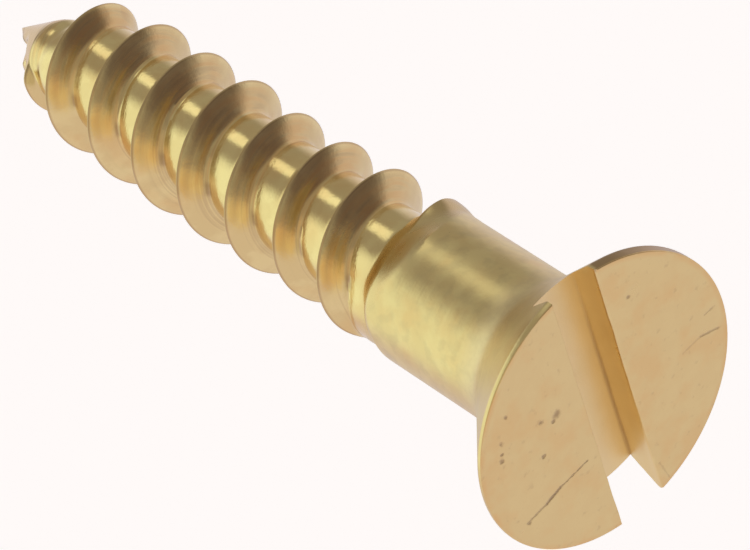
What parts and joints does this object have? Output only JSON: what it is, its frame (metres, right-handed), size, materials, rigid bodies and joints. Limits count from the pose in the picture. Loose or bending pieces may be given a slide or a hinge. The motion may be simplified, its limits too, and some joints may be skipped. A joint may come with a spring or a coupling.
{
  "type": "wood screw",
  "caption": "Slotted countersunk wood screw with a plain shank, a deep right-hand thread and a sharp point.",
  "frame": {"origin": "on the axis, in the plane of the head's flat top face, at the middle of the driver slot's mouth", "axes": "+Z along the screw's axis out of the head, so the point is at -Z; Y along the driver slot"},
  "size_m": [0.0068, 0.0068, 0.02],
  "materials": {
    "brass": "bright turned brass"
  },
  "bodies": {
    "root": {"wood_screw": "brass"}
  },
  "joints": []
}
